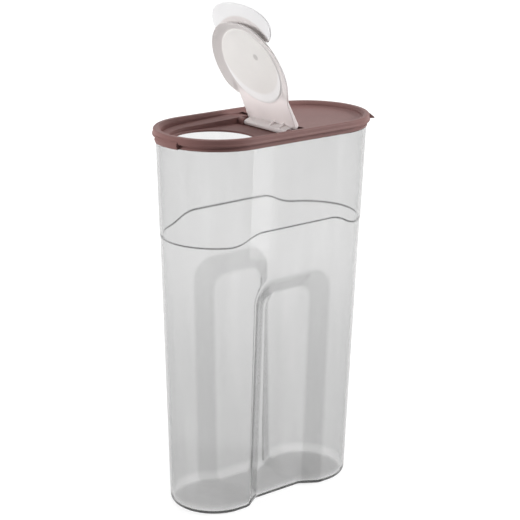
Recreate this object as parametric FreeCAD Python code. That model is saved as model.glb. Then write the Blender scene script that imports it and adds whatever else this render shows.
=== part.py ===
import FreeCAD, Part
import math
import os

# Dry food canister: a clear drafted container, a lid that drops over its mouth and a flip-up pour flap.
# Millimetres, +Z up, origin on the table under the middle of the base, +X along the canister's length.
# The pour end is at -X. Every outline across the canister is a stadium with the same two end centres.

# Container
end_spacing = 89.0             # between the centres of the two rounded ends
base_width = 65.0              # across the foot, before its edge is rounded
draft_deg = 1.95               # lean of the side walls
container_height = 284.6       # table to the edge of the mouth
wall = 1.6
floor_thickness = 2.4
foot_radius = 5.0              # rounding where the walls meet the foot
neck_set_in = 0.59             # straight neck behind the line of the wall, at the mouth's edge

# Step line round the container: the upper section stands a little outside the lower one
step_overhang = 0.4
step_low_z = 208.3             # height of the line round the two ends
step_rise = 7.8                # how much higher it runs along the long sides
step_wave_x = 46.4             # distance of each wave's middle from the centre
step_wave_run = 30.0           # length of a wave

# Grip recess in each long side, open at the foot
recess_width = 71.0
recess_top = 177.6             # along the leaning side, from the foot
recess_depth = 8.5
recess_slope_run = 13.4        # width of the sloping border round the recess floor
recess_corner_radius = 17.0
recess_edge_radius = 3.0

# Lid: depths are below the top of the rim
rim_roof = 2.4                 # rim material above the mouth's edge
rim_overhang = 1.9             # bead beyond the skirt
rim_bead_depth = 5.2           # bottom of the bead
rim_bead_height = 1.8
rim_set_back = 0.6             # rim face behind the bead
rim_top_width = 3.6
rim_round = 0.8
skirt_wall = 1.2
skirt_depth = 8.6
plug_wall = 1.2
plug_depth = 8.4
deck_depth = 3.8               # bare deck behind the flap
lid_thickness = 1.4
ledge_depth = 2.5              # ledge round the pour pocket, at the middle of the lid
ledge_fall_deg = 2.26          # fall of the ledge towards the pour end
ledge_drop = 1.8               # fall of the ledge across its width
ledge_width = 5.5              # ledge from the rim's wall to the pocket, beside the pour hole
pocket_depth = 8.7
hole_land = 3.0                # pocket floor left round the pour hole
hole_offset = 1.0              # hole centre beyond the end centre
front_tab_width = 25.5         # stubby tab under the rim at the pour end
front_tab_reach = 1.4          # past the bead
back_lip_width = 50.0          # thin lift lip round the other end
back_lip_reach = 4.6           # past the bead

# Flap: depths are those of the shut flap
open_deg = 66.0                # how far it stands open as drawn
hinge_x = 2.9
hinge_depth = 6.4
flap_thickness = 1.4
flap_rise = 0.5                # top of the plate above the rim
pad_inset = 0.2                # thicker disc over the pour hole: edge inside the hole's
pad_height = 0.8
brim_drop = 3.0                # fall of the sloping brim round the pad
brim_front_width = 5.1         # brim left at its slightly flattened front
brim_front_radius = 90.0
neck_inset = 6.4               # sides of the neck inside the widest line of the pocket
heel_setback = 1.5             # wall at the neck's end, behind the hinge axis
heel_trim = 2.4                # that wall narrows to the barrel from here, above the hinge axis
barrel_radius = 1.9
barrel_inset = 3.3             # ends of the hinge barrel inside the sides of the neck
pin_diameter = 2.6
pin_grip = 2.0                 # length of each pin in its boss
boss_wall = 1.3                # lid material round each pin
rib_thickness = 1.8            # ribs along the top of the neck's sides
rib_height = 2.2
rib_length = 33.0              # from the hinge
rib_setback = 2.0              # highest place of the ribs, from the hinge
finger_inset = 5.9             # curled lift at the tip: sides inside the head's edge
finger_reach = 18.0            # tip of the lift from the edge of the pad
finger_length = 16.1           # from its widest place to its tip
finger_step = 2.5              # rise from the plate to the lift's widest place
finger_curl = 1.8              # how far the tip rises above that
finger_bend = 0.6              # share of the curl reached half way along

# Clearances
lid_clearance = 0.3            # skirt and plug to the neck of the container
rebate_gap = 0.4               # under the skirt
head_gap = 0.5                 # flap head to the wall of the rim
pin_clearance = 0.05
hinge_gap = 0.4                # ends of the hinge barrel to the bosses
neck_gap = 2.7                 # sides of the neck to the pocket walls
pocket_end_gap = 0.6           # neck heel to the end of the pocket
overcut = 20.0                 # cutters run past the faces that they open

half_spacing = end_spacing / 2
draft = math.tan(math.radians(draft_deg))
rim_top = container_height + rim_roof


def body_radius(z):
    """Radius of the lower section's outside at a height."""
    return base_width / 2 + z * draft


def cavity_radius(z):
    """Radius of the inside at a height."""
    return body_radius(z) - wall


neck_radius = body_radius(container_height) - neck_set_in
skirt_inner = neck_radius + lid_clearance
skirt_outer = skirt_inner + skirt_wall
bead_radius = skirt_outer + rim_overhang
rim_radius = bead_radius - rim_set_back
rim_inner = rim_radius - rim_top_width
plug_outer = cavity_radius(rim_top - plug_depth) - lid_clearance
plug_inner = plug_outer - plug_wall
pocket_radius = plug_inner - ledge_width
hole_radius = pocket_radius - hole_land
pour_x = -(half_spacing + hole_offset)
head_radius = plug_inner - head_gap
hinge_z = rim_top - hinge_depth
plate_top = rim_top + flap_rise
plate_under = plate_top - flap_thickness
pad_radius = hole_radius - pad_inset
neck_half = pocket_radius - neck_inset
barrel_half = neck_half - barrel_inset
boss_face = barrel_half + hinge_gap
boss_radius = pin_diameter / 2 + pin_clearance + boss_wall
pin_half = boss_face + pin_grip
finger_half = head_radius - finger_inset
finger_tip_x = pour_x - pad_radius - finger_reach
heel_x = hinge_x + heel_setback + flap_thickness
heel_reach = math.hypot(heel_x - hinge_x, plate_top - hinge_z)
pocket_end_x = hinge_x + heel_reach + pocket_end_gap
pocket_end_half = neck_half + neck_gap


def point(x, z, y=0.0):
    """A point of a section drawn in the XZ plane."""
    return FreeCAD.Vector(x, y, z)


def face_of(points):
    """Flat face inside a closed outline of points."""
    return Part.Face(Part.makePolygon(points + points[:1]))


def box(x0, x1, y0, y1, z0, z1):
    """Box between two corners."""
    return Part.makeBox(x1 - x0, y1 - y0, z1 - z0, FreeCAD.Vector(x0, y0, z0))


def join(shapes):
    """One solid from shapes that overlap or share faces."""
    return shapes[0].multiFuse(shapes[1:]).removeSplitter()


def stadium_sweep(section):
    """Carries a section, given as (radius, z) points, all round the stadium outline."""
    outline = [point(radius, z) for radius, z in section]
    end = face_of(outline).revolve(FreeCAD.Vector(), FreeCAD.Vector(0, 0, 1), 180)
    end.rotate(FreeCAD.Vector(), FreeCAD.Vector(0, 0, 1), -90)
    far_end = end.copy()
    far_end.rotate(FreeCAD.Vector(), FreeCAD.Vector(0, 0, 1), 180)
    end.translate(FreeCAD.Vector(half_spacing, 0, 0))
    far_end.translate(FreeCAD.Vector(-half_spacing, 0, 0))
    run = FreeCAD.Vector(end_spacing, 0, 0)
    sides = []
    for turn in (90, -90):
        side = face_of(outline)
        side.rotate(FreeCAD.Vector(), FreeCAD.Vector(0, 0, 1), turn)
        side.translate(FreeCAD.Vector(-half_spacing, 0, 0))
        sides.append(side.extrude(run))
    return join([end, far_end] + sides)


def across(outline, half_width):
    """Carries an XZ outline across the canister, the same distance to both sides."""
    face = face_of([point(x, z, -half_width) for x, z in outline])
    return face.extrude(FreeCAD.Vector(0, 2 * half_width, 0))


def upright(x, y, radius, z0, z1):
    """Upright cylinder."""
    return Part.makeCylinder(radius, z1 - z0, FreeCAD.Vector(x, y, z0))


def cross_bar(radius, half_width):
    """Cylinder along the hinge axis."""
    start = FreeCAD.Vector(hinge_x, -half_width, hinge_z)
    return Part.makeCylinder(radius, 2 * half_width, start, FreeCAD.Vector(0, 1, 0))


def wave_edges(side):
    """Two arcs that carry the step line from an end level to a side level."""
    x_low = side * (step_wave_x + step_wave_run / 2)
    x_high = side * (step_wave_x - step_wave_run / 2)
    radius = (step_wave_run ** 2 + step_rise ** 2) / (4 * step_rise)
    middle = point(side * step_wave_x, step_low_z + step_rise / 2)
    half_angle = math.asin(step_wave_run / 2 / radius) / 2
    bow = radius * (1 - math.cos(half_angle))
    shift = side * radius * math.sin(half_angle)
    low = point(x_low, step_low_z)
    high = point(x_high, step_low_z + step_rise)
    lower_arc = Part.Arc(low, point(x_low - shift, step_low_z + bow), middle).toShape()
    upper_arc = Part.Arc(middle, point(x_high + shift, high.z - bow), high).toShape()
    return low, high, lower_arc, upper_arc


def above_the_step():
    """Everything above the wavy step line."""
    reach = half_spacing + 2 * neck_radius + overcut
    top = container_height + overcut
    low_left, high_left, left_rise, left_top = wave_edges(-1)
    low_right, high_right, right_rise, right_top = wave_edges(1)
    start = point(-reach, step_low_z)
    stop = point(reach, step_low_z)
    edges = [
        Part.makeLine(start, low_left), left_rise, left_top, Part.makeLine(high_left, high_right),
        right_top, right_rise, Part.makeLine(low_right, stop),
        Part.makeLine(stop, point(reach, top)), Part.makeLine(point(reach, top), point(-reach, top)),
        Part.makeLine(point(-reach, top), start),
    ]
    face = Part.Face(Part.Wire(Part.__sortEdges__(edges)))
    face.translate(FreeCAD.Vector(0, -2 * neck_radius, 0))
    return face.extrude(FreeCAD.Vector(0, 4 * neck_radius, 0))


def recess_outline(half_width, top, corner, depth):
    """Outline of the recess at one depth: straight sides, rounded top corners, running down past the foot."""
    lean = corner * (1 - math.sqrt(0.5))
    bottom = -overcut
    left, right = -half_width, half_width

    def at(x, height):
        return FreeCAD.Vector(x, depth, height)

    edges = [
        Part.makeLine(at(left, bottom), at(left, top - corner)),
        Part.Arc(at(left, top - corner), at(left + lean, top - lean), at(left + corner, top)).toShape(),
        Part.makeLine(at(left + corner, top), at(right - corner, top)),
        Part.Arc(at(right - corner, top), at(right - lean, top - lean), at(right, top - corner)).toShape(),
        Part.makeLine(at(right, top - corner), at(right, bottom)),
        Part.makeLine(at(right, bottom), at(left, bottom)),
    ]
    return Part.Wire(edges)


def recess(grow, side):
    """Air of one grip recess, made larger all round by grow, on the -Y side (side -1) or the +Y side (1)."""
    slope = recess_slope_run / recess_depth
    spread = grow * math.hypot(1, slope)
    wires = []
    for depth in (-recess_edge_radius - grow, recess_depth + grow):
        inset = slope * depth - spread
        half_width = recess_width / 2 - inset
        wires.append(recess_outline(half_width, recess_top - inset, recess_corner_radius - inset / 2, depth))
    air = Part.makeLoft(wires, True, True)
    air.rotate(FreeCAD.Vector(), FreeCAD.Vector(1, 0, 0), draft_deg)
    air.translate(FreeCAD.Vector(0, -base_width / 2, 0))
    if side > 0:
        air.rotate(FreeCAD.Vector(), FreeCAD.Vector(0, 0, 1), 180)
    return air


def container_outside():
    """Lower section, upper section above the step line and the straight neck under the lid."""
    rebate_z = rim_top - skirt_depth - rebate_gap
    foot = [(body_radius(0) - foot_radius, 0.0)]
    for turn in (30, 60, 90):
        angle = math.radians(turn)
        rise = foot_radius * (1 - math.cos(angle))
        foot.append((body_radius(rise) - foot_radius * (1 - math.sin(angle)), rise))
    lower = stadium_sweep([(0, 0)] + foot + [(body_radius(rebate_z), rebate_z), (0, rebate_z)])
    step_base = step_low_z - step_rise
    upper = stadium_sweep([
        (0, step_base), (body_radius(step_base) + step_overhang, step_base),
        (body_radius(rebate_z) + step_overhang, rebate_z), (0, rebate_z),
    ])
    neck_base = rebate_z - rim_roof
    neck = stadium_sweep([
        (0, neck_base), (neck_radius, neck_base), (neck_radius, container_height), (0, container_height),
    ])
    return join([lower, upper.common(above_the_step()), neck])


def make_container():
    """Clear vessel: drafted walls, wavy step line, a grip recess in each long side and a rounded foot."""
    outside = container_outside()
    cavity = stadium_sweep([
        (0, floor_thickness), (cavity_radius(floor_thickness), floor_thickness),
        (cavity_radius(container_height + overcut), container_height + overcut),
        (0, container_height + overcut),
    ])
    for side in (-1, 1):
        outside = outside.cut(recess(0.0, side))
        cavity = cavity.cut(recess(wall, side))
    return outside.cut(cavity)


def ring(inner, outer, depth0, depth1):
    """Upright ring of the lid between two radii and two depths."""
    z0, z1 = rim_top - depth1, rim_top - depth0
    return stadium_sweep([(inner, z0), (outer, z0), (outer, z1), (inner, z1)])


def pocket_prism(margin, depth0, depth1):
    """Plan of the pour pocket, made larger by a margin, between two depths."""
    radius = pocket_radius + margin
    end_half = pocket_end_half + margin
    end_x = pocket_end_x + margin
    z0, z1 = rim_top - depth1, rim_top - depth0
    corners = [(pour_x, -radius), (end_x, -end_half), (end_x, end_half), (pour_x, radius)]
    run = face_of([point(x, z0, y) for x, y in corners]).extrude(FreeCAD.Vector(0, 0, z1 - z0))
    return join([run, upright(pour_x, 0, radius, z0, z1)])


def rim_section():
    """Section of the rim: top, set-back face, bead, skirt, channel for the mouth and plug wall."""
    bead_top = rim_bead_depth - rim_bead_height
    swell = rim_set_back / 2
    section = [
        (rim_inner, 0), (rim_radius - rim_round, 0), (rim_radius, rim_round), (rim_radius, bead_top),
        (bead_radius - swell, bead_top + swell / 2), (bead_radius, bead_top + rim_bead_height / 2),
        (bead_radius - swell, rim_bead_depth), (skirt_outer, rim_bead_depth), (skirt_outer, skirt_depth),
        (skirt_inner, skirt_depth), (skirt_inner, rim_roof), (plug_outer, rim_roof), (plug_outer, plug_depth),
        (plug_inner, plug_depth), (plug_inner, rim_roof),
    ]
    return [(radius, rim_top - depth) for radius, depth in section]


def space_over_ledge():
    """Room above the ledge: the ledge falls inwards, and all of it tips towards the pour end."""
    inner = pocket_radius
    room = stadium_sweep([
        (0, rim_top + overcut), (bead_radius + overcut, rim_top + overcut),
        (bead_radius + overcut, rim_top - ledge_depth), (plug_inner, rim_top - ledge_depth),
        (inner, rim_top - ledge_depth - ledge_drop), (0, rim_top - ledge_depth - ledge_drop),
    ])
    room.rotate(FreeCAD.Vector(0, 0, rim_top - ledge_depth), FreeCAD.Vector(0, 1, 0), -ledge_fall_deg)
    inside = ring(0, plug_inner, -overcut, pocket_depth)
    return room.common(inside)


def rim_tab(section, x0, x1, half):
    """Piece of a section carried round the rim, between two places along the lid."""
    band = stadium_sweep([(radius, rim_top - depth) for radius, depth in section])
    return band.common(box(x0, x1, -half, half, 0, rim_top))


def hinge_bosses():
    """A boss at each side of the pocket that holds a pin of the flap."""
    floor_z = rim_top - pocket_depth - lid_thickness
    foot = box(hinge_x - boss_radius, hinge_x + boss_radius, -pocket_radius, pocket_radius, floor_z, hinge_z)
    blocks = join([foot, cross_bar(boss_radius, pocket_radius)])
    between = box(hinge_x - overcut, hinge_x + overcut, -boss_face, boss_face, 0, rim_top)
    return blocks.cut(between).common(pocket_prism(lid_thickness, 0, pocket_depth + lid_thickness)).Solids


def lift_tabs():
    """A stubby tab that fills the groove under the rim at the pour end, and a thin lip at the other end."""
    bead_top = rim_bead_depth - rim_bead_height
    front_tip = bead_radius + front_tab_reach
    back_tip = bead_radius + back_lip_reach
    front = [
        (skirt_inner, bead_top), (bead_radius, bead_top), (front_tip, rim_bead_depth),
        (bead_radius, skirt_depth), (skirt_inner, skirt_depth),
    ]
    back = [
        (skirt_inner, rim_round), (rim_radius, rim_round), (back_tip, rim_bead_depth),
        (back_tip, rim_bead_depth + rim_round), (skirt_inner, rim_bead_depth + rim_round),
    ]
    return [
        rim_tab(front, -half_spacing - front_tip, -half_spacing, front_tab_width / 2),
        rim_tab(back, half_spacing, half_spacing + back_tip, back_lip_width / 2),
    ]


def make_lid():
    """Lid: rim and skirt, bare deck at one end, ledge, pour pocket and pour hole at the other."""
    reach = half_spacing + bead_radius
    deck_under = deck_depth + lid_thickness
    deck = ring(0, plug_outer, deck_depth, deck_under).common(box(
        pocket_end_x, reach, -reach, reach, 0, rim_top))
    ledge_under = ledge_depth + ledge_drop + lid_thickness + reach * math.tan(math.radians(ledge_fall_deg))
    pour_end = box(-reach, pocket_end_x + lid_thickness, -reach, reach, 0, rim_top + overcut)
    ledge = ring(0, plug_outer, rim_roof - rim_round, min(ledge_under, plug_depth)).common(pour_end)
    tub = pocket_prism(lid_thickness, rim_roof - rim_round, pocket_depth + lid_thickness)
    pour_room = space_over_ledge().common(pour_end)
    pour_side = join([ledge, tub]).cut(pour_room).cut(pocket_prism(0, -overcut, pocket_depth))
    lid = join([stadium_sweep(rim_section()), deck, pour_side] + hinge_bosses() + lift_tabs())
    lid = lid.cut(upright(pour_x, 0, hole_radius, 0, rim_top + overcut))
    return lid.cut(cross_bar(pin_diameter / 2 + pin_clearance, pin_half))


def flap_head():
    """Round head: plate with a thicker pad under it and a sloping brim round it."""
    brim_under = plate_under - brim_drop
    section = [
        (0, plate_top), (pad_radius, plate_top), (head_radius, brim_under + flap_thickness),
        (head_radius, brim_under), (head_radius - flap_thickness, brim_under),
        (pad_radius, plate_under - pad_height / 2), (pad_radius - pad_height, plate_under - pad_height),
        (0, plate_under - pad_height),
    ]
    head = face_of([point(r, z) for r, z in section]).revolve(
        FreeCAD.Vector(), FreeCAD.Vector(0, 0, 1), 360)
    head.translate(FreeCAD.Vector(pour_x, 0, 0))
    front_centre = pour_x - pad_radius - brim_front_width + brim_front_radius
    flat_front = upright(front_centre, 0, brim_front_radius, 0, plate_top + overcut)
    inside_rim = upright(-half_spacing, 0, head_radius, 0, plate_top + overcut)
    return head.common(flat_front).common(inside_rim)


def neck_room():
    """Room that the brim leaves for the flat neck."""
    return box(pour_x, pour_x + head_radius + overcut, -neck_half, neck_half,
               plate_under - brim_drop - overcut, plate_under).cut(
        upright(pour_x, 0, pad_radius, 0, plate_top + overcut))


def flap_neck():
    """Flat neck with a rib along the top of each side, and the wall at its end that carries the hinge barrel."""
    plate_mid = plate_top - flap_thickness / 2
    plate = [(pour_x, plate_top), (heel_x, plate_top), (heel_x, plate_under), (pour_x, plate_under)]
    heel = [
        (hinge_x + heel_setback, plate_mid), (heel_x, plate_mid), (heel_x, hinge_z + heel_trim),
        (hinge_x + barrel_radius, hinge_z), (hinge_x + heel_setback, hinge_z),
    ]
    rib = [
        (hinge_x - rib_length, plate_mid), (hinge_x - rib_setback, plate_top + rib_height),
        (hinge_x, plate_top), (hinge_x, plate_mid),
    ]
    ribs = across(rib, neck_half).cut(across(rib, neck_half - rib_thickness))
    return [across(plate, neck_half), across(heel, barrel_half)] + ribs.Solids


def finger_plan():
    """Plan of the lift: an ellipse that is widest across the flap."""
    widest_x = finger_tip_x + finger_length
    centre = FreeCAD.Vector(widest_x, 0, 0)
    long_half = max(finger_half, finger_length)
    short_half = min(finger_half, finger_length)
    ellipse = Part.Ellipse(centre + FreeCAD.Vector(0, long_half, 0),
                           centre - FreeCAD.Vector(short_half, 0, 0), centre)
    height = FreeCAD.Vector(0, 0, plate_top + overcut)
    return Part.Face(Part.Wire(ellipse.toShape())).extrude(height)


def flap_finger():
    """Lift at the tip: a sheet that rises from the plate, clears the rim and curls upwards."""
    widest_x = finger_tip_x + finger_length
    root_x = pour_x - pad_radius / 2
    bend_x = (widest_x + finger_tip_x) / 2
    heights = [
        (root_x, 0.0), (widest_x, finger_step), (bend_x, finger_step + finger_curl * finger_bend),
        (finger_tip_x, finger_step + finger_curl),
    ]
    under = [(x, plate_under + rise) for x, rise in heights]
    over = [(x, plate_top + rise) for x, rise in reversed(heights)]
    return across(under + over, finger_half).common(finger_plan())


def make_flap():
    """Pour flap, drawn shut and then opened about its hinge."""
    bar = cross_bar(barrel_radius, barrel_half)
    pins = cross_bar(pin_diameter / 2, pin_half)
    flap = join([flap_head().cut(neck_room())] + flap_neck() + [flap_finger(), bar, pins])
    flap.rotate(FreeCAD.Vector(hinge_x, 0, hinge_z), FreeCAD.Vector(0, 1, 0), open_deg)
    return flap


def main():
    os.makedirs("parts", exist_ok=True)
    pieces = {"container": make_container(), "lid": make_lid(), "flap": make_flap()}
    for name, shape in pieces.items():
        solid = shape.Solids[0]
        print(name, "solids", len(shape.Solids), "valid", shape.isValid(), "volume", round(shape.Volume, 1))
        solid.exportStep(os.path.join("parts", name + ".step"))


main()
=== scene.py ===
import math
import bmesh
import bpy
from mathutils import Matrix, Vector


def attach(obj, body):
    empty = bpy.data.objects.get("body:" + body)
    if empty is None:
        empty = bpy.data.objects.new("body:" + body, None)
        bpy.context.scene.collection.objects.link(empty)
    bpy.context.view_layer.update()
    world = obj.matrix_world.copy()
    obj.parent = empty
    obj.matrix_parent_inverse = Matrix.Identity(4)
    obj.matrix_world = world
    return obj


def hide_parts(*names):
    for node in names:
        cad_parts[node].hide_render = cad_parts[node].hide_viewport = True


# Dry food canister around its CAD frame: clear container, brown lid and milky pour flap.
# Meshes are drawn in millimetres and scaled to metres when they become objects.

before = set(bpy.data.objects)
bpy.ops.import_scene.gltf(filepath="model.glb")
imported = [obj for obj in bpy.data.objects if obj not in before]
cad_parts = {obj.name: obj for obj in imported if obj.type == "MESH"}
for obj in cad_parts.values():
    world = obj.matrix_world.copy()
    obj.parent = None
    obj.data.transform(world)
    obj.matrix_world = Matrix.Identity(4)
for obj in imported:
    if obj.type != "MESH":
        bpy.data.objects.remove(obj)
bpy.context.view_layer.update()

MM = 0.001
WELD = 0.0005                  # vertices nearer than this become one
WALL_WELD = 0.001              # the same for a wall carried round the stadium
DISC_WELD = 0.0001             # the same for a disc of radius 1
END_X = 44.5                   # centre of each rounded end

# Container
BASE_RADIUS = 32.5
DRAFT = math.tan(math.radians(1.95))
DRAWN_RADIUS = 40.0            # the wall is first drawn upright at this radius
WALL = 1.6
FLOOR = 2.4
FOOT_OUT = 5.0                 # rounding at the foot, outside and inside
FOOT_IN = 4.0
BORDER_OUT = 2.0               # border of the floor's skin, outside and inside
BORDER_IN = 1.0
MOUTH_Z = 284.6
LIP = 0.4                      # height and set-back of the mouth's rounded edge
LIP_SET = 0.25
NECK_Z = 278.0                 # shoulder under the lid's skirt
NECK_RADIUS = 41.6
STEP_LOW = 208.3
STEP_RISE = 7.8
STEP_MID_X = 46.4
STEP_RUN = 30.0
STEP_OUT = 0.4
STEP_ROW = 212.2               # the wall's row of vertices that follows the step line
STEP_HALF = 0.25               # half the height over which the step comes out
STEP_LINE = 0.4                # rows within this of the step carry the full painted shade of its line
STEP_FADE = (150, 270)         # rows between these bend with the step line
RECESS_HALF = 35.5
RECESS_TOP = 177.6
RECESS_DEPTH = 8.5
RECESS_RUN = 13.4
RECESS_CORNER = 17.0
RECESS_SOFT = 0.13             # share of the slope that its rounded edges take
RECESS_GROW = 0.47             # the recess is larger by this on the inside
RECESS_ROWS = (146, 186)       # close rows round the recess's top
UPPER_ROWS = (217, 276)        # plain rows over the step
WALL_STEPS = (44, 68)          # columns round an end and along a side

# Lid
RIM_TOP = 287.0
PLUG_RADIUS = 38.885           # inner wall of the rim
LAP = 0.6                      # the lid's inner parts reach this far into the rim
DECK_DEPTH = 3.8
SHEET = 1.4                    # thickness of the lid's inner parts
POUR_X = -45.5
POCKET_RADIUS = 33.385
POCKET_END_X = 11.0
POCKET_END_HALF = 29.7
POCKET_DEPTH = 8.7
POCKET_WALL = 1.3              # thickness of the pocket's wall
HOLE_RADIUS = 30.385
HOLE_GAP = 12                  # degrees to each side of the hole's end nearest the hinge
HINGE_X = 2.9
HINGE_Z = 280.6
BOSS_RADIUS = 2.65
BOSS_ENDS = (24.08, 30.6)
BOSS_SINK = 0.6                # the boss reaches this far into the pocket's floor
OPEN = math.radians(66.0)
RIM_STEPS = (48, 16)           # columns round an end and along a side
DECK_STEPS = (14, 48, 8)       # columns along a side, round the end and across
RUN_STEPS, ARC_STEPS, END_STEPS = 22, 56, 14
RIM_SECTION = [                # (radius, depth under the rim's top)
    (40.7, 0.0), (43.6, 0.0), (44.4, 0.7), (44.45, 3.3), (45.0, 3.9), (45.0, 4.7), (44.6, 5.2), (42.4, 5.3),
    (42.4, 6.7), (43.0, 6.9), (43.0, 8.6), (41.9, 8.6), (41.9, 2.5), (40.0, 2.5), (39.9, 8.4),
    (PLUG_RADIUS, 8.4), (PLUG_RADIUS, 2.2),
]
FRONT_TAB = [(42.2, 3.4), (45.0, 3.4), (46.3, 5.0), (46.3, 5.4), (45.0, 8.6), (42.2, 8.6)]
FRONT_TAB_HALF = 12.75
BACK_LIP = [(42.2, 0.8), (44.2, 0.8), (49.5, 5.1), (49.6, 5.5), (49.4, 5.9), (42.2, 6.0)]
BACK_LIP_HALF = 25.0
TAB_STEPS = 24

# Flap, drawn shut about the centre of its pad: e towards the tip, y across, z above the rim's top
PAD_RADIUS = 30.19
PAD_STEP = 0.8                 # the pad stands this far out of the plate's underside
PAD_EDGE = 1.6                 # the even rows of the pad end this far inside its edge
HEAD_RADIUS = 38.35
HEAD_GAP = 0.35                # room between the head and the rim's inner wall
FRONT_E = 35.27                # front of the brim, slightly flattened
FRONT_RADIUS = 90.0
NECK_HALF = 26.97
HEEL_E = -51.3                 # end of the neck
PLATE_TOP = 0.5
PLATE_UNDER = -0.9
BRIM_DROP = 3.0
BRIM_GAP = 0.5                 # the brim starts to drop this far outside the pad
TIP_E = 48.17
TIP_LENGTH = 16.1
TIP_HALF = 32.45
TIP_POWER = 2.2                # fullness of the lift's oval
ROOT_E = 23.0                  # the lift leaves the plate here
LIFT_RISE = 2.9
LIFT_CURL = 1.4
BARREL_HALF = 23.67
BARREL_RADIUS = 1.9
GUSSET_PLACES = (-4.2, -14.7)
GUSSET_HALF = 1.0
GUSSET = [(2.0, 6.0), (-3.0, 6.0), (-2.9, 3.6), (-2.6, 0.6), (0.0, 0.3), (2.2, 0.3)]
RIB = [(-33.0, 6.2), (-2.6, 8.9), (-1.4, 8.8), (-0.4, 7.6), (0.0, 6.2)]
RIB_WIDTH = 1.8
PIN_RADII = (1.3, 1.2)
PIN_LENGTH = 3.4
PIN_OUT = 0.65                 # middle of a pin, outside the barrel's end
PAD_ROWS, BRIM_ROWS, HEAD_STEPS = 14, 24, 240
LIFT_ROWS, LIFT_STEPS = 16, 160


# Mesh helpers

def new_object(name, bm, material, body, node, smooth_angle):
    """Turns a bmesh drawn in millimetres into a piece that rides on a body, and hides the CAD node it takes the
    place of.
    """
    bmesh.ops.remove_doubles(bm, verts=bm.verts, dist=WELD)
    bmesh.ops.recalc_face_normals(bm, faces=bm.faces)
    bmesh.ops.scale(bm, vec=(MM, MM, MM), verts=bm.verts)
    mesh = bpy.data.meshes.new(name)
    bm.to_mesh(mesh)
    bm.free()
    for face in mesh.polygons:
        face.use_smooth = True
    mesh.set_sharp_from_angle(angle=math.radians(smooth_angle))
    piece = bpy.data.objects.new(name, mesh)
    bpy.context.scene.collection.objects.link(piece)
    mesh.materials.append(material)
    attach(piece, body)
    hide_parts(node)
    return piece


def add_part(bm, part):
    """Adds the mesh of one bmesh to another."""
    mesh = bpy.data.meshes.new("part")
    part.to_mesh(mesh)
    part.free()
    bm.from_mesh(mesh)
    bpy.data.meshes.remove(mesh)


def chain(bm, points, closed=False):
    """Edges through a few points."""
    verts = [bm.verts.new(p) for p in points]
    pairs = list(zip(verts, verts[1:]))
    if closed:
        pairs.append((verts[-1], verts[0]))
    return verts + [bm.edges.new(pair) for pair in pairs]


def face_of(bm, geom):
    """Closes a chain with one face."""
    edges = [g for g in geom if isinstance(g, bmesh.types.BMEdge)]
    return bmesh.ops.contextual_create(bm, geom=edges)["faces"]


def verts_of(loop):
    """The vertices of some edges or faces."""
    return {v for part in loop for v in part.verts}


def carry(bm, geom, legs):
    """Carries a chain along legs: ("turn", centre, degrees, steps) or ("go", vector, steps)."""
    for leg in legs:
        if leg[0] == "turn":
            done = bmesh.ops.spin(bm, geom=geom, cent=leg[1], axis=(0, 0, 1), angle=math.radians(leg[2]),
                                  steps=leg[3], dvec=(0, 0, 0))
        else:
            done = bmesh.ops.spin(bm, geom=geom, cent=(0, 0, 0), axis=(0, 0, 1), angle=0,
                                  steps=leg[2], dvec=Vector(leg[1]) / leg[2])
        geom = done["geom_last"]


def stadium_legs(turn_steps, run_steps):
    """Once round the stadium, from the near side of the +X end."""
    return [
        ("turn", (END_X, 0, 0), 180, turn_steps), ("go", (-2 * END_X, 0, 0), run_steps),
        ("turn", (-END_X, 0, 0), 180, turn_steps), ("go", (2 * END_X, 0, 0), run_steps),
    ]


def outline(bm, start, legs):
    """Closed loop drawn from one vertex by legs; returns its edges."""
    old = set(bm.edges)
    carry(bm, [bm.verts.new(start)], legs)
    fresh = [e for e in bm.edges if e not in old]
    bmesh.ops.remove_doubles(bm, verts=list(verts_of(fresh)), dist=WELD)
    return [e for e in bm.edges if e not in old]


def soften(bm, edges, width):
    """Rounds edges."""
    bmesh.ops.bevel(bm, geom=edges, offset=width, offset_type="OFFSET", segments=3, profile=0.5,
                    affect="EDGES", material=-1, clamp_overlap=True)


def sharp_edges(bm, degrees):
    """Edges whose two faces meet at more than an angle."""
    limit = math.radians(degrees)
    return [e for e in bm.edges if len(e.link_faces) == 2 and e.calc_face_angle() > limit]


def prism(points, y0, y1, edge):
    """Outline of (x, z) points carried across, with rounded edges."""
    bm = bmesh.new()
    face = face_of(bm, chain(bm, [(x, y0, z) for x, z in points], True))
    done = bmesh.ops.extrude_face_region(bm, geom=face)["geom"]
    bmesh.ops.translate(bm, vec=(0, y1 - y0, 0), verts=[g for g in done if isinstance(g, bmesh.types.BMVert)])
    bmesh.ops.recalc_face_normals(bm, faces=bm.faces)
    soften(bm, sharp_edges(bm, 24), edge)
    return bm


def limited(value, low, high):
    """The value, kept between two limits."""
    return min(high, max(low, value))


def blend(low, high, value):
    """Smooth step from 0 at low to 1 at high."""
    t = limited((value - low) / (high - low), 0.0, 1.0)
    return t * t * (3 - 2 * t)


def soft_ramp(t, soft):
    """0 below 0 and t above it, rounded over soft to each side."""
    if t < -soft:
        return 0.0
    return t if t > soft else (t + soft) ** 2 / (4 * soft)


# Container

def wave(x):
    """Height of the step line over its low level, along the canister."""
    reach = abs(x) - (STEP_MID_X - STEP_RUN / 2)
    t = limited(reach / STEP_RUN, 0.0, 1.0)
    return STEP_RISE * (1 - 2 * t * t if t < 0.5 else 2 * (1 - t) * (1 - t))


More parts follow.
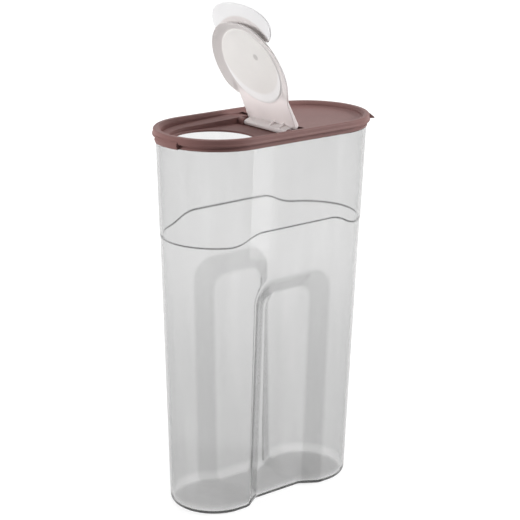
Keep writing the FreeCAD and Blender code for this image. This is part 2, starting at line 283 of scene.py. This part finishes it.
def recess_share(x, height, grow):
    """How far down the recess's slope a place on the side wall lies: 0 outside, 1 on the floor."""
    low, high = -0.6, 1.6
    for _ in range(22):
        t = (low + high) / 2
        corner = max(RECESS_CORNER + grow - t * RECESS_RUN / 2, 1.0)
        half = RECESS_HALF + grow - t * RECESS_RUN
        top = RECESS_TOP + grow - t * RECESS_RUN
        across = max(abs(x) - (half - corner), 0.0)
        up = max(height - (top - corner), 0.0)
        if across * across + up * up < corner * corner:
            low = t
        else:
            high = t
    return soft_ramp(low, RECESS_SOFT) - soft_ramp(low - 1.0, RECESS_SOFT)


def wall_shape(bm, verts, inner):
    """Moves a plain upright stadium wall into the container's outside or inside."""
    set_in = WALL if inner else 0.0
    floor_z = FLOOR if inner else 0.0
    foot = FOOT_IN if inner else FOOT_OUT
    grow = RECESS_GROW if inner else 0.0
    # Masks of painted shade: on the recess's slopes and along the step line.
    slope, line = bm.verts.layers.float["slope"], bm.verts.layers.float["line"]
    for v in verts:
        centre = limited(v.co.x, -END_X, END_X)
        out = Vector((v.co.x - centre, v.co.y)).normalized()
        row = v.co.z
        near_step = blend(STEP_FADE[0], STEP_ROW, row) - blend(STEP_ROW, STEP_FADE[1], row)
        z = row + (STEP_LOW + wave(centre + out.x * DRAWN_RADIUS) - STEP_ROW) * near_step
        radius = BASE_RADIUS + z * DRAFT - set_in
        if not inner:
            radius += STEP_OUT * blend(STEP_ROW - STEP_HALF, STEP_ROW + STEP_HALF, row)
        above = row - floor_z
        if above < foot:
            radius -= foot * (1 - math.sqrt(max(0.0, 1 - (1 - above / foot) ** 2)))
        if row > NECK_Z + 0.05 and not inner:
            radius = NECK_RADIUS
        if row > MOUTH_Z - LIP:
            radius += LIP_SET * (1 if inner else -1) * (row - MOUTH_Z + LIP) / LIP
        depth = 0.0
        if abs(out.x) < 1e-4:
            share = recess_share(v.co.x, z, grow)
            depth = RECESS_DEPTH * share
            v[slope] = min(1.0, 12.0 * share * (1 - share))
        # Painted shade along the step line, on the outside only.
        v[line] = 0.0 if inner else limited(2.0 - abs(row - STEP_ROW) / STEP_LINE, 0.0, 1.0)
        v.co = (centre + out.x * radius, out.y * (radius - depth), z)


def rows_between(start, stop, pitch):
    """Heights from start to stop at about a pitch."""
    count = max(1, round((stop - start) / pitch))
    return [start + (stop - start) * i / count for i in range(count)]


def container_rows(inner):
    """Heights of the wall's rows of vertices."""
    base = FLOOR if inner else 0.0
    low, high = RECESS_ROWS
    step = [STEP_ROW + d for d in (-1.2, -0.6, -0.25, -0.15, 0.0, 0.15, 0.25, 0.6, 1.2)]
    rows = [base + h for h in (0.0, 0.12, 0.45, 1.0, 1.8, 2.8, 4.0)]
    rows += rows_between(base + 5.2, low, 3.4) + rows_between(low, high, 1.25)
    rows += rows_between(high, 211, 4.0) + step + rows_between(*UPPER_ROWS, 5.0) + [276.0]
    if inner:
        rows += [280.0]
    else:
        rows += [NECK_Z - 0.4, NECK_Z, NECK_Z + 0.1, NECK_Z + 0.6, 281.0]
    return rows + [MOUTH_Z - LIP, MOUTH_Z]


def row_edges(verts, z):
    """Edges that lie in one row."""
    return list({e for v in verts for e in v.link_edges if all(abs(w.co.z - z) < 1e-4 for w in e.verts)})


def wall_surface(bm, inner):
    """One surface of the container's wall; returns the loops at its foot and its mouth."""
    old = set(bm.verts)
    rows = container_rows(inner)
    carry(bm, chain(bm, [(END_X, -DRAWN_RADIUS, z) for z in rows]), stadium_legs(*WALL_STEPS))
    bmesh.ops.remove_doubles(bm, verts=[v for v in bm.verts if v not in old], dist=WALL_WELD)
    verts = [v for v in bm.verts if v not in old]
    foot, mouth = row_edges(verts, rows[0]), row_edges(verts, rows[-1])
    wall_shape(bm, verts, inner)
    return foot, mouth


def floor_skin(bm, loop, border):
    """Closes the foot with a flat floor inside a narrow border."""
    face = bmesh.ops.edgeloop_fill(bm, edges=loop)["faces"]
    bmesh.ops.inset_region(bm, faces=face, thickness=border, depth=0, use_even_offset=True)


def make_container(material):
    """Clear vessel: outside and inside walls joined at the mouth, closed at the foot."""
    bm = bmesh.new()
    # Vertex masks that carry painted shade on the recess's slopes and along the step line.
    bm.verts.layers.float.new("slope")
    bm.verts.layers.float.new("line")
    foot_out, mouth_out = wall_surface(bm, False)
    foot_in, mouth_in = wall_surface(bm, True)
    bmesh.ops.bridge_loops(bm, edges=mouth_out + mouth_in)
    floor_skin(bm, foot_out, BORDER_OUT)
    floor_skin(bm, foot_in, BORDER_IN)
    piece = new_object("clear_container", bm, material, "container", "container", 50.0)


# Lid

def rim_ring(bm):
    """Rim: rounded top, set-back face, bead, groove, skirt, channel for the mouth and plug wall."""
    points = [(END_X, -radius, RIM_TOP - depth) for radius, depth in RIM_SECTION]
    carry(bm, chain(bm, points, True), stadium_legs(*RIM_STEPS))
    bmesh.ops.remove_doubles(bm, verts=bm.verts, dist=WALL_WELD)
    soften(bm, sharp_edges(bm, 28), 0.32)


def ledge_depth(x, share):
    """Depth of the ledge: it falls towards the pour end and inwards, and levels into the deck."""
    tipped = 2.5 - 0.0395 * x + 1.8 * share
    return tipped + (DECK_DEPTH - tipped) * blend(-8.0, POCKET_END_X, x)


def ledge_loop(bm, radius, half, end_x, centre_x, z):
    """Loop of the pour end: near side, round the pour end, far side, and across."""
    return outline(bm, (end_x, -half, z), [
        ("go", (centre_x - end_x, half - radius, 0), RUN_STEPS), ("turn", (centre_x, 0, 0), -180, ARC_STEPS),
        ("go", (end_x - centre_x, half - radius, 0), RUN_STEPS), ("go", (0, -2 * half, 0), END_STEPS),
    ])


def pocket_loop(bm, grow, half_grow, end_grow, z):
    """Loop of the pocket, larger than its edge by these amounts."""
    return ledge_loop(bm, POCKET_RADIUS + grow, POCKET_END_HALF + half_grow, POCKET_END_X + end_grow, POUR_X, z)


def hole_loop(bm, radius, z):
    """Loop of the pour hole with as many vertices as a loop of the ledge."""
    gap = math.radians(HOLE_GAP)
    start = (POUR_X + radius * math.cos(gap), -radius * math.sin(gap), z)
    centre = (POUR_X, 0, 0)
    return outline(bm, start, [
        ("turn", centre, HOLE_GAP - 90, RUN_STEPS), ("turn", centre, -180, ARC_STEPS),
        ("turn", centre, HOLE_GAP - 90, RUN_STEPS), ("turn", centre, -2 * HOLE_GAP, END_STEPS),
    ])


def lay_on_ledge(loop, share, drop):
    """Moves a loop to the ledge's height, or below it."""
    for v in verts_of(loop):
        v.co.z = RIM_TOP - ledge_depth(v.co.x, share) - drop


def pour_end(bm):
    """Ledge, pocket and pour hole, as loops bridged one after another round the sheet."""
    floor_top = RIM_TOP - POCKET_DEPTH
    floor_under = floor_top - SHEET
    rim = PLUG_RADIUS + LAP
    end_x = POCKET_END_X + SHEET
    wall = POCKET_WALL
    loops = [
        ledge_loop(bm, rim, rim, end_x, -END_X, RIM_TOP), pocket_loop(bm, 0.0, 0.0, 0.0, RIM_TOP),
        pocket_loop(bm, -0.25, -0.1, -0.2, floor_top),
        hole_loop(bm, HOLE_RADIUS, floor_top), hole_loop(bm, HOLE_RADIUS + 0.05, floor_under),
        pocket_loop(bm, wall, wall, 1.2, floor_under), pocket_loop(bm, wall, wall, wall, RIM_TOP),
        ledge_loop(bm, rim - 0.01, rim - 0.01, end_x, -END_X, RIM_TOP),
    ]
    for index, share, drop in ((0, 0.0, 0.0), (1, 1.0, 0.0), (-2, 1.0, SHEET), (-1, 0.0, SHEET)):
        lay_on_ledge(loops[index], share, drop)
    for first, second in zip(loops, loops[1:] + loops[:1]):
        bmesh.ops.bridge_loops(bm, edges=first + second)
    soften(bm, sharp_edges(bm, 30), 0.35)


def deck_loop(bm, radius, z):
    """Loop of the deck: near side, round the end, far side, and across."""
    side, end, across = DECK_STEPS
    run = END_X - POCKET_END_X
    return outline(bm, (POCKET_END_X, -radius, z), [
        ("go", (run, 0, 0), side), ("turn", (END_X, 0, 0), 180, end), ("go", (-run, 0, 0), side),
        ("go", (0, -2 * radius, 0), across),
    ])


def deck(bm):
    """Bare deck behind the flap, with a fillet up to the rim."""
    top = RIM_TOP - DECK_DEPTH
    rim = PLUG_RADIUS + LAP
    fillet = ((rim, 1.4), (PLUG_RADIUS, 1.2), (PLUG_RADIUS - 0.35, 0.5), (PLUG_RADIUS - 1.0, 0.1),
              (PLUG_RADIUS - 1.9, 0.0))
    loops = [deck_loop(bm, radius, top + rise) for radius, rise in fillet]
    under = deck_loop(bm, rim, top - SHEET)
    for first, second in zip(loops, loops[1:]):
        bmesh.ops.bridge_loops(bm, edges=first + second)
    bmesh.ops.bridge_loops(bm, edges=loops[0] + under)
    bmesh.ops.edgeloop_fill(bm, edges=loops[-1])
    bmesh.ops.edgeloop_fill(bm, edges=under)


def hinge_boss(side):
    """Boss on the pocket's floor that holds a pin of the flap."""
    turn = [math.radians(d) for d in range(0, 181, 20)]
    points = [(HINGE_X + BOSS_RADIUS * math.cos(t), HINGE_Z - RIM_TOP + BOSS_RADIUS * math.sin(t)) for t in turn]
    points += [(HINGE_X + s * BOSS_RADIUS, -POCKET_DEPTH - BOSS_SINK) for s in (-1, 1)]
    bm = prism(points, side * BOSS_ENDS[0], side * BOSS_ENDS[1], 0.3)
    bmesh.ops.translate(bm, vec=(0, 0, RIM_TOP), verts=bm.verts)
    return bm


def rim_tab(bm, section, side, half):
    """Short length of a section round one end of the rim."""
    old = set(bm.faces)
    turn = math.asin(half / max(radius for radius, _ in section))
    centre = (side * END_X, 0, 0)
    points = [(side * END_X + side * radius, 0, RIM_TOP - depth) for radius, depth in section]
    first = face_of(bm, chain(bm, points, True))
    verts = list(verts_of(first))
    bmesh.ops.rotate(bm, cent=centre, matrix=Matrix.Rotation(-turn, 3, "Z"), verts=verts)
    geom = first + verts + list({e for f in first for e in f.edges})
    bmesh.ops.spin(bm, geom=geom, cent=centre, axis=(0, 0, 1), angle=2 * turn, steps=TAB_STEPS, dvec=(0, 0, 0))
    bmesh.ops.recalc_face_normals(bm, faces=[f for f in bm.faces if f not in old])


def make_lid(material):
    """Brown lid: rim, ledge with pour pocket and hole, bare deck, hinge bosses, front tab and back lip."""
    bm = bmesh.new()
    rim_ring(bm)
    for build in (pour_end, deck):
        part = bmesh.new()
        build(part)
        bmesh.ops.remove_doubles(part, verts=part.verts, dist=WELD)
        bmesh.ops.recalc_face_normals(part, faces=part.faces)
        add_part(bm, part)
    for side in (-1, 1):
        add_part(bm, hinge_boss(side))
    rim_tab(bm, FRONT_TAB, -1, FRONT_TAB_HALF)
    rim_tab(bm, BACK_LIP, 1, BACK_LIP_HALF)
    piece = new_object("lid_moulding", bm, material, "lid", "lid", 34.0)


# Flap

def reach_to_circle(c, middle, radius):
    """Distance from the pad's centre to a circle about a point on its axis, c being the angle's cosine."""
    return c * middle + math.sqrt(c * c * middle * middle + radius ** 2 - middle ** 2)


def head_reach(angle):
    """Distance from the pad's centre to the edge of the head or neck, angle 0 towards the tip."""
    c, s = math.cos(angle), abs(math.sin(angle))
    if c < 0 and s * HEAD_RADIUS < NECK_HALF:
        return max(HEAD_RADIUS, min(NECK_HALF / max(s, 1e-6), HEEL_E / c))
    reach = min(HEAD_RADIUS, reach_to_circle(c, END_X + POUR_X, PLUG_RADIUS - HEAD_GAP))
    return min(reach, reach_to_circle(c, FRONT_E - FRONT_RADIUS, FRONT_RADIUS)) if c > 0 else reach


def head_place(angle, share, under):
    """Place of a vertex of the head and neck."""
    inner = PAD_RADIUS - PAD_EDGE
    reach = head_reach(angle)
    r = share / 0.5 * inner if share < 0.5 else inner + (reach - inner) * (share - 0.5) / 0.5
    e, y = r * math.cos(angle), r * math.sin(angle)
    slope = soft_ramp((r - PAD_RADIUS - BRIM_GAP) / (HEAD_RADIUS - PAD_RADIUS - BRIM_GAP), 0.1)
    beside = max(blend(NECK_HALF - 0.8, NECK_HALF + 2.0, abs(y)), blend(-20.0, -8.0, e))
    height = PLATE_UNDER if under else PLATE_TOP
    if under:
        height -= PAD_STEP * blend(PAD_RADIUS + 0.1, PAD_RADIUS - 0.8, r)
    return e, y, height - BRIM_DROP * min(slope, 1.0) * beside * blend(-33.0, -15.0, e)


def lift_reach(angle):
    """Distance from the lift's middle to its edge: an oval in front and at the sides, cut short at its root."""
    c, s = math.cos(angle), abs(math.sin(angle))
    oval = (abs(c / TIP_LENGTH) ** TIP_POWER + (s / TIP_HALF) ** TIP_POWER) ** (-1 / TIP_POWER)
    back = TIP_E - TIP_LENGTH - ROOT_E
    return oval if c >= 0 else min(oval, back / max(-c, 1e-6))


def lift_place(angle, share, under):
    """Place of a vertex of the curled lift."""
    r = share * lift_reach(angle)
    e, y = TIP_E - TIP_LENGTH + r * math.cos(angle), r * math.sin(angle)
    rise = LIFT_RISE * blend(17.0, 37.0, e) + LIFT_CURL * limited((e - 30.0) / 18.2, 0.0, 1.0)
    return e, y, rise + (PLATE_UNDER if under else PLATE_TOP)


def sheet(place, shares, steps):
    """Closed sheet: a flat disc of radius 1 spun round and then moved into place."""
    bm = bmesh.new()
    section = [(s, 0, 1.0) for s in shares] + [(s, 0, -1.0) for s in reversed(shares)]
    bmesh.ops.spin(bm, geom=chain(bm, section), cent=(0, 0, 0), axis=(0, 0, 1), angle=2 * math.pi, steps=steps,
                   use_merge=True, dvec=(0, 0, 0))
    bmesh.ops.remove_doubles(bm, verts=bm.verts, dist=DISC_WELD)
    for v in bm.verts:
        angle = math.atan2(v.co.y, v.co.x) % (2 * math.pi)
        v.co = place(angle, math.hypot(v.co.x, v.co.y), v.co.z < 0)
    bmesh.ops.recalc_face_normals(bm, faces=bm.faces)
    soften(bm, sharp_edges(bm, 50), 0.45)
    return bm


def hinge_points(points):
    """Points given from the hinge axis, x away from the tip, in the flap's own terms."""
    return [(POUR_X - HINGE_X - x, HINGE_Z - RIM_TOP + z) for x, z in points]


def hinge_pin(side):
    """Pin at one end of the barrel."""
    pin = bmesh.new()
    bmesh.ops.create_cone(pin, cap_ends=True, segments=28, radius1=PIN_RADII[0], radius2=PIN_RADII[1],
                          depth=PIN_LENGTH)
    bmesh.ops.rotate(pin, cent=(0, 0, 0), matrix=Matrix.Rotation(-side * math.pi / 2, 3, "X"), verts=pin.verts)
    e, z = hinge_points([(0, 0)])[0]
    bmesh.ops.translate(pin, vec=(e, side * (BARREL_HALF + PIN_OUT), z), verts=pin.verts)
    return pin


def flap_heel():
    """Wall at the neck's end with the hinge barrel, its two small gussets, the ribs on the neck and the pins."""
    turn = [math.radians(d) for d in range(175, 361, 23)]
    barrel = [(BARREL_RADIUS * math.cos(t), BARREL_RADIUS * math.sin(t)) for t in turn]
    profile = [(-1.2, 6.2), (-1.6, 2.6)] + barrel + [(BARREL_RADIUS, 0.0), (2.9, 2.4), (2.9, 6.2)]
    bm = prism(hinge_points(profile), -BARREL_HALF, BARREL_HALF, 0.25)
    for y in GUSSET_PLACES:
        add_part(bm, prism(hinge_points(GUSSET), y - GUSSET_HALF, y + GUSSET_HALF, 0.35))
    for side in (-1, 1):
        add_part(bm, prism(hinge_points(RIB), side * NECK_HALF, side * (NECK_HALF - RIB_WIDTH), 0.4))
        add_part(bm, hinge_pin(side))
    return bm


def make_flap(material):
    """Milky flap: head and neck, curled lift and heel, drawn shut and then opened about the hinge."""
    shares = [0.5 * i / PAD_ROWS for i in range(PAD_ROWS + 1)]
    shares += [0.5 + 0.5 * i / BRIM_ROWS for i in range(1, BRIM_ROWS + 1)]
    bm = sheet(head_place, shares, HEAD_STEPS)
    add_part(bm, sheet(lift_place, [i / LIFT_ROWS for i in range(LIFT_ROWS + 1)], LIFT_STEPS))
    add_part(bm, flap_heel())
    bmesh.ops.scale(bm, vec=(-1, 1, 1), verts=bm.verts)
    bmesh.ops.translate(bm, vec=(POUR_X, 0, RIM_TOP), verts=bm.verts)
    bmesh.ops.rotate(bm, cent=(HINGE_X, 0, HINGE_Z), matrix=Matrix.Rotation(OPEN, 3, "Y"), verts=bm.verts)
    piece = new_object("pour_flap", bm, material, "flap", "flap", 40.0)


# Materials

SMOKE = (0.80, 0.81, 0.86)                # clear wall at the foot, half-way up and at the top
SLOPE_PAINTED_SHADE = 0.84                        # painted shade on the recess's slope
STEP_LINE_PAINTED_SHADE = 0.03                         # painted shade along the step line
EDGE_SHADE = 0.34                         # where the wall is seen edge on
BROWN = ((0.180, 0.092, 0.085), (0.208, 0.108, 0.100))
LIFT_MILK = (0.90, 0.895, 0.90)
# Painted shade on the brim's ring round the pad.
NECK_MILK_PAINTED_GLOW = (0.99, 0.93, 0.92)
# The neck's milk, with a painted pink glow from the brown lid behind it, lightened as painted light.
BRIM_PAINTED_SHADE = (0.76, 0.72, 0.71)
PAD_MILK = (0.87, 0.85, 0.83)
PAD_PAINTED_HIGHLIGHT = (0.96, 0.955, 0.955)          # painted highlight: pale crescent on the pad towards the neck
GATE_MARK = (0.62, 0.60, 0.585)


def grey(value):
    """A neutral colour."""
    return (value, value, value)


def node_material(name):
    """New material with its node tree and Principled shader."""
    material = bpy.data.materials.new(name)
    material.use_nodes = True
    tree = material.node_tree
    shader = next(n for n in tree.nodes if n.type == "BSDF_PRINCIPLED")
    return material, tree, shader


def object_place(tree):
    """Object coordinates."""
    return tree.nodes.new("ShaderNodeTexCoord").outputs["Object"]


def noise(tree, scale, detail, stretch=(1, 1, 1)):
    """Noise on Object coordinates."""
    mapping = tree.nodes.new("ShaderNodeMapping")
    mapping.inputs["Scale"].default_value = stretch
    texture = tree.nodes.new("ShaderNodeTexNoise")
    texture.inputs["Scale"].default_value = scale
    texture.inputs["Detail"].default_value = detail
    tree.links.new(object_place(tree), mapping.inputs["Vector"])
    tree.links.new(mapping.outputs["Vector"], texture.inputs["Vector"])
    return texture.outputs["Fac"]


def ramp(tree, source, stops):
    """Colour ramp over a value."""
    node = tree.nodes.new("ShaderNodeValToRGB")
    while len(node.color_ramp.elements) < len(stops):
        node.color_ramp.elements.new(0.5)
    for element, (place, colour) in zip(node.color_ramp.elements, stops):
        element.position = place
        element.color = (*colour, 1)
    tree.links.new(source, node.inputs["Fac"])
    return node.outputs["Color"]


def mix(tree, kind, factor, first, second):
    """Mixes two colours, each a socket or a plain colour; the factor is a socket or a number."""
    node = tree.nodes.new("ShaderNodeMix")
    node.data_type = "RGBA"
    node.blend_type = kind
    for socket, value in ((node.inputs[0], factor), (node.inputs[6], first), (node.inputs[7], second)):
        if isinstance(value, bpy.types.NodeSocket):
            tree.links.new(value, socket)
        else:
            socket.default_value = value if isinstance(value, float) else (*value, 1)
    return node.outputs[2]


def spread(tree, source, low, high):
    """0 at low to 1 at high, smoothly."""
    node = tree.nodes.new("ShaderNodeMapRange")
    node.interpolation_type = "SMOOTHSTEP"
    node.inputs["From Min"].default_value = low
    node.inputs["From Max"].default_value = high
    tree.links.new(source, node.inputs["Value"])
    return node.outputs["Result"]


def vector_math(tree, operation, first, second=None):
    """Vector Math node; the second value is a plain vector."""
    node = tree.nodes.new("ShaderNodeVectorMath")
    node.operation = operation
    tree.links.new(first, node.inputs[0])
    if second is not None:
        node.inputs[1].default_value = second
    return node.outputs["Value"] if operation in ("LENGTH", "DOT_PRODUCT") else node.outputs["Vector"]


def bump(tree, shader, source, strength, distance):
    """Bump from a texture's value."""
    node = tree.nodes.new("ShaderNodeBump")
    node.inputs["Strength"].default_value = strength
    node.inputs["Distance"].default_value = distance
    tree.links.new(source, node.inputs["Height"])
    tree.links.new(node.outputs["Normal"], shader.inputs["Normal"])


def attribute(tree, name):
    """A value that the mesh carries."""
    node = tree.nodes.new("ShaderNodeAttribute")
    node.attribute_name = name
    return node.outputs["Fac"]


def clear_plastic():
    """Clear, slightly smoky moulded plastic, with painted shade on the recess's slopes and along the step line, and
    deeper where the wall is seen edge on.
    """
    material, tree, shader = node_material("clear_plastic")
    height = vector_math(tree, "DOT_PRODUCT", object_place(tree), (0, 0, 1))
    # Tone by height; the lowest half millimetre is painted white, painted light that hides the dark line along the
    # foot.
    tone = ramp(tree, spread(tree, height, 0.0, 0.26), [
        (0.0, grey(1)), (0.002, grey(SMOKE[0])), (0.45, grey(SMOKE[1])), (1.0, grey(SMOKE[2])),
    ])
    streaks = noise(tree, 60, 3, (1, 1, 0.15))
    cloud = ramp(tree, streaks, [(0.3, grey(0.95)), (0.7, grey(1))])
    edge = tree.nodes.new("ShaderNodeLayerWeight")
    edge.inputs["Blend"].default_value = 0.25
    tone = mix(tree, "MULTIPLY", 1.0, tone, cloud)
    # Painted shade on the recess's slopes and along the step line, and a deeper tint where the wall is seen edge
    # on.
    for factor, shade in ((attribute(tree, "slope"), SLOPE_PAINTED_SHADE), (attribute(tree, "line"), STEP_LINE_PAINTED_SHADE),
                          (spread(tree, edge.outputs["Facing"], 0.3, 0.95), EDGE_SHADE)):
        tone = mix(tree, "MULTIPLY", factor, tone, grey(shade))
    tree.links.new(tone, shader.inputs["Base Color"])
    shader.inputs["Transmission Weight"].default_value = 1.0
    shader.inputs["IOR"].default_value = 1.25
    depth = tree.nodes.new("ShaderNodeVolumeAbsorption")
    depth.inputs["Color"].default_value = (*grey(0.2), 1)
    depth.inputs["Density"].default_value = 70.0
    result = next(n for n in tree.nodes if n.type == "OUTPUT_MATERIAL")
    tree.links.new(depth.outputs["Volume"], result.inputs["Volume"])
    haze = ramp(tree, streaks, [(0.3, grey(0.05)), (0.8, grey(0.09))])
    haze = mix(tree, "MIX", spread(tree, height, 0.0018, 0.0004), haze, grey(0.4))
    tree.links.new(haze, shader.inputs["Roughness"])
    return material


def satin(tree, shader, scale, dull, strength, distance):
    """Fine grain in the roughness and the bump."""
    grain = noise(tree, scale, 2)
    gloss = ramp(tree, grain, [(0.2, grey(dull[0])), (0.8, grey(dull[1]))])
    tree.links.new(gloss, shader.inputs["Roughness"])
    bump(tree, shader, grain, strength, distance)


def brown_plastic():
    """Dusty brown moulded plastic with a fine satin grain."""
    material, tree, shader = node_material("brown_plastic")
    tone = ramp(tree, noise(tree, 38, 4), [(0.25, BROWN[0]), (0.75, BROWN[1])])
    tree.links.new(tone, shader.inputs["Base Color"])
    shader.inputs["Specular IOR Level"].default_value = 0.24
    satin(tree, shader, 1400, (0.44, 0.56), 0.12, 0.0004)
    return material


def milky_plastic():
    """Milky white translucent moulded plastic: a thicker pad, painted shade on the brim, a painted pink glow and
    painted light on the neck, a painted highlight crescent on the pad and the mark of the gate on the pad.
    """
    material, tree, shader = node_material("milky_plastic")
    pad_centre = Matrix.Rotation(OPEN, 3, "Y") @ Vector((POUR_X - HINGE_X, 0, RIM_TOP - HINGE_Z))
    pad_centre = (pad_centre + Vector((HINGE_X, 0, HINGE_Z))) * MM
    turned = tree.nodes.new("ShaderNodeVectorRotate")
    turned.rotation_type = "Y_AXIS"
    turned.inputs["Angle"].default_value = -OPEN
    tree.links.new(vector_math(tree, "SUBTRACT", object_place(tree), pad_centre), turned.inputs["Vector"])
    flat = vector_math(tree, "MULTIPLY", turned.outputs["Vector"], (1, 1, 0))

    def from_point(e, y):
        """Distance in the flap's plane from a point given in millimetres."""
        return vector_math(tree, "LENGTH", vector_math(tree, "SUBTRACT", flat, (-e * MM, y * MM, 0)))

    radius = from_point(0.0, 0.0)
    on_pad = spread(tree, radius, 0.0307, 0.0299)
    along = vector_math(tree, "DOT_PRODUCT", turned.outputs["Vector"], (1, 0, 0))
    # The lift's milk grades into the neck's milk, which carries a painted pink glow and painted light.
    tone = mix(tree, "MIX", spread(tree, along, -0.010, 0.030), LIFT_MILK, NECK_MILK_PAINTED_GLOW)
    # Painted shade on the brim round the pad.
    brim = mix(tree, "MIX", spread(tree, radius, 0.0394, 0.0376), tone, BRIM_PAINTED_SHADE)
    neck = mix(tree, "MIX", spread(tree, along, 0.020, 0.027), brim, tone)
    pad = mix(tree, "MIX", on_pad, neck, PAD_MILK)
    # Painted highlight: a pale crescent on the pad towards the neck.
    pad_highlight = mix(tree, "MIX", spread(tree, from_point(7.5, 0.0), 0.0285, 0.0315), pad, PAD_PAINTED_HIGHLIGHT)
    face = mix(tree, "MIX", on_pad, neck, pad_highlight)
    spot = mix(tree, "MIX", spread(tree, from_point(9.2, -9.5), 0.0031, 0.0017), face, GATE_MARK)
    cloud = ramp(tree, noise(tree, 55, 3), [(0.25, grey(0.95)), (0.75, grey(1))])
    tree.links.new(mix(tree, "MULTIPLY", 1.0, spot, cloud), shader.inputs["Base Color"])
    shader.inputs["Transmission Weight"].default_value = 0.2
    shader.inputs["IOR"].default_value = 1.45
    satin(tree, shader, 900, (0.42, 0.54), 0.06, 0.0003)
    return material


# Stage, in metres

EYE = Vector((-0.7650, -0.9123, 0.5396))
AIM = Vector((0, 0, 0.1801))
ROLL = math.radians(0.75)
LENS, SENSOR, SHIFT_X = 115.68, 36.0, -0.00335
WORLD_LIGHT, WORLD_SEEN = 0.30, 1.0       # strength as a light and as what is seen
FLOOR_HALF = 6.0
FLOOR_DROP = 0.0002                       # keeps the floor clear of the base
FLOOR_GREY = 0.3
GLOW_FROM, GLOW_TO = (0.10, 0.81), (0.60, 1.0)   # (distance, strength) of the floor's own white
MIDDLE = (0, 0, 0.25)                     # what the lamps point at


def camera():
    """Camera at the photograph's place."""
    look = (AIM - EYE).normalized()
    right = look.cross(Vector((0, 0, 1))).normalized()
    up = right.cross(look)
    level = right * math.cos(ROLL) + up * math.sin(ROLL)
    upright = up * math.cos(ROLL) - right * math.sin(ROLL)
    data = bpy.data.cameras.new("camera")
    data.lens = LENS
    data.sensor_width = SENSOR
    data.sensor_fit = "HORIZONTAL"
    data.shift_x = SHIFT_X
    data.clip_start = 0.05
    thing = bpy.data.objects.new("camera", data)
    thing.matrix_world = Matrix((level, upright, -look)).transposed().to_4x4()
    thing.location = EYE
    bpy.context.scene.collection.objects.link(thing)
    bpy.context.scene.camera = thing


def lamp(name, place, target, size, watts, mirrored=True):
    """Soft area lamp, not seen itself unless it is mirrored."""
    data = bpy.data.lights.new(name, "AREA")
    data.shape = "RECTANGLE"
    data.size, data.size_y = size
    data.energy = watts
    thing = bpy.data.objects.new(name, data)
    thing.location = place
    thing.rotation_euler = (Vector(target) - Vector(place)).to_track_quat("-Z", "Y").to_euler()
    thing.visible_camera = False
    thing.visible_transmission = False
    thing.visible_glossy = mirrored
    bpy.context.scene.collection.objects.link(thing)


def two_values(tree, operation, first, second):
    """Math node on two sockets."""
    node = tree.nodes.new("ShaderNodeMath")
    node.operation = operation
    tree.links.new(first, node.inputs[0])
    tree.links.new(second, node.inputs[1])
    return node.outputs[0]


def seen_rays(tree):
    """1 for camera, transmitted and mirrored rays."""
    path = tree.nodes.new("ShaderNodeLightPath")
    clear = two_values(tree, "MAXIMUM", path.outputs["Is Camera Ray"], path.outputs["Is Transmission Ray"])
    return two_values(tree, "MAXIMUM", clear, path.outputs["Is Glossy Ray"])


def surroundings():
    """White world for what is seen, a softer one for what lights the object."""
    world = bpy.data.worlds.new("studio")
    bpy.context.scene.world = world
    world.use_nodes = True
    tree = world.node_tree
    back = tree.nodes["Background"]
    level = tree.nodes.new("ShaderNodeMapRange")
    tree.links.new(seen_rays(tree), level.inputs["Value"])
    level.inputs["To Min"].default_value = WORLD_LIGHT
    level.inputs["To Max"].default_value = WORLD_SEEN
    tree.links.new(level.outputs["Result"], back.inputs["Strength"])
    back.inputs["Color"].default_value = (1, 1, 1, 1)


def floor():
    """Pale floor that keeps the object's shadow and runs out into the white world."""
    bm = bmesh.new()
    bmesh.ops.create_grid(bm, x_segments=1, y_segments=1, size=FLOOR_HALF)
    mesh = bpy.data.meshes.new("floor")
    bm.to_mesh(mesh)
    bm.free()
    thing = bpy.data.objects.new("floor", mesh)
    thing.location.z = -FLOOR_DROP
    bpy.context.scene.collection.objects.link(thing)
    material, tree, shader = node_material("floor_paint")
    shader.inputs["Base Color"].default_value = (*grey(FLOOR_GREY), 1)
    shader.inputs["Roughness"].default_value = 0.9
    shader.inputs["Specular IOR Level"].default_value = 0.0
    shader.inputs["Emission Color"].default_value = (1, 1, 1, 1)
    far = tree.nodes.new("ShaderNodeMapRange")
    for end, (distance, strength) in (("Min", GLOW_FROM), ("Max", GLOW_TO)):
        far.inputs["From " + end].default_value = distance
        far.inputs["To " + end].default_value = strength
    tree.links.new(vector_math(tree, "LENGTH", object_place(tree)), far.inputs["Value"])
    glow = two_values(tree, "MULTIPLY", seen_rays(tree), far.outputs["Result"])
    tree.links.new(glow, shader.inputs["Emission Strength"])
    mesh.materials.append(material)


bpy.context.scene.view_settings.view_transform = "Standard"
make_container(clear_plastic())
make_lid(brown_plastic())
make_flap(milky_plastic())
camera()
surroundings()
floor()
lamp("top", (0.15, 0.35, 1.55), MIDDLE, (1.3, 1.3), 9.0)
lamp("front", (1.0, -1.0, 0.75), MIDDLE, (0.5, 0.5), 19)
lamp("side", (-1.35, 0.65, 0.33), (0, 0, 0.30), (0.8, 0.6), 21, mirrored=False)
lamp("strip", (0.332, -0.476, 0.075), (-0.035, -0.04, 0.24), (0.035, 0.16), 0.09)
